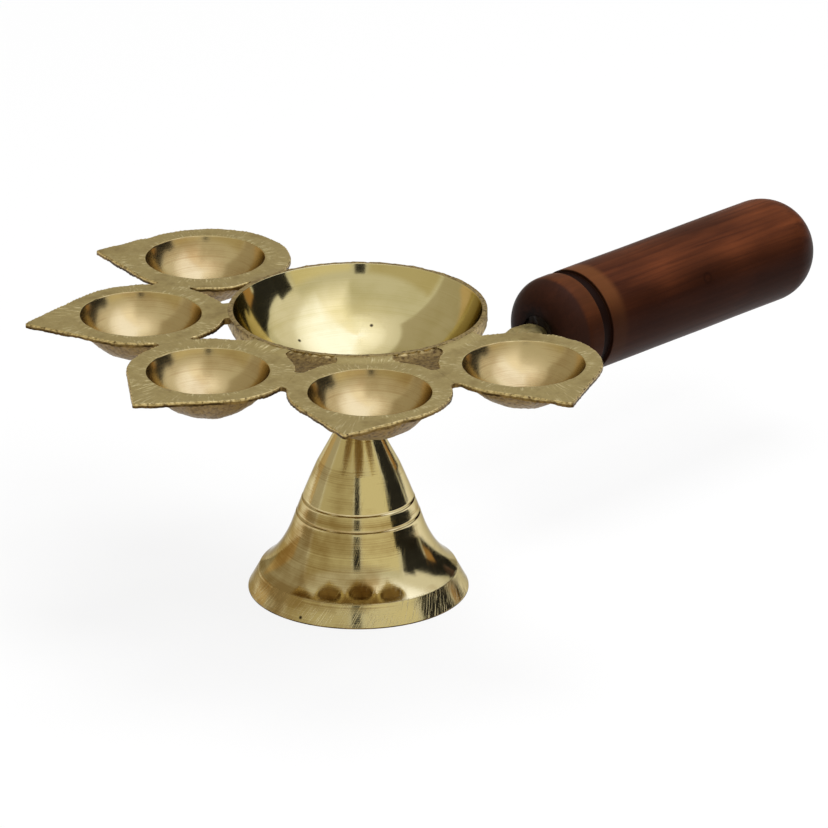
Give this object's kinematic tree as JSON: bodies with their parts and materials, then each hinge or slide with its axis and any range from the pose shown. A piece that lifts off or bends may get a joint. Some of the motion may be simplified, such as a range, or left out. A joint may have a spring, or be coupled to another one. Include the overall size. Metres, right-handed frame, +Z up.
{
  "type": "aarti lamp",
  "caption": "Hand-held brass aarti lamp: an open bowl ringed by a fan of pointed leaf cups, on a hollow bell pedestal, with a turned wooden handle.",
  "frame": {"origin": "centre of the pedestal's foot, on the surface the lamp stands on", "axes": "+Z up along the pedestal, +X along the wooden handle, away from the bowl"},
  "size_m": [0.3144, 0.2032, 0.096],
  "materials": {
    "polished_brass": "lathe turned and polished",
    "cast_brass": "sand cast, filed flat on top, brushed inside the cups",
    "turned_brass": "plain turned rod",
    "lacquered_wood": "lathe turned, dark red-brown lacquer",
    "dark_lac": "black shellac resin, charred wood round it"
  },
  "bodies": {
    "pedestal": {"pedestal_bell": "polished_brass"},
    "stud": {"pedestal_stud": "turned_brass"},
    "head": {"central_bowl": "polished_brass", "leaf_cup_1": "cast_brass", "leaf_cup_2": "cast_brass", "leaf_cup_3": "cast_brass", "leaf_cup_4": "cast_brass", "leaf_cup_5": "cast_brass", "web_front": "cast_brass", "web_side": "cast_brass"},
    "tang": {"handle_tang": "turned_brass"},
    "handle": {"wood_handle": "lacquered_wood", "lac_plug": "dark_lac"}
  },
  "joints": [
    {"name": "head_rise", "type": "slide", "parent": "pedestal", "child": "stud", "axis": [0, 0, 1], "range_m": [0, 0.008]},
    {"name": "head_turn", "type": "hinge", "parent": "stud", "child": "head", "pos_m": [0, 0, 0.057], "axis": [0, 0, 1], "range_deg": [0, 2880]},
    {"name": "handle_draw", "type": "slide", "parent": "head", "child": "tang", "axis": [1, 0, 0], "range_m": [0, 0.0055]},
    {"name": "handle_turn", "type": "hinge", "parent": "tang", "child": "handle", "pos_m": [0.1, 0, 0.0634], "axis": [1, 0, 0], "range_deg": [0, 1980]}
  ],
  "couplings": [
    {"joint": "head_rise", "follows": "head_turn", "m_per_rad": 0.00015915},
    {"joint": "handle_draw", "follows": "handle_turn", "m_per_rad": 0.00015915}
  ]
}
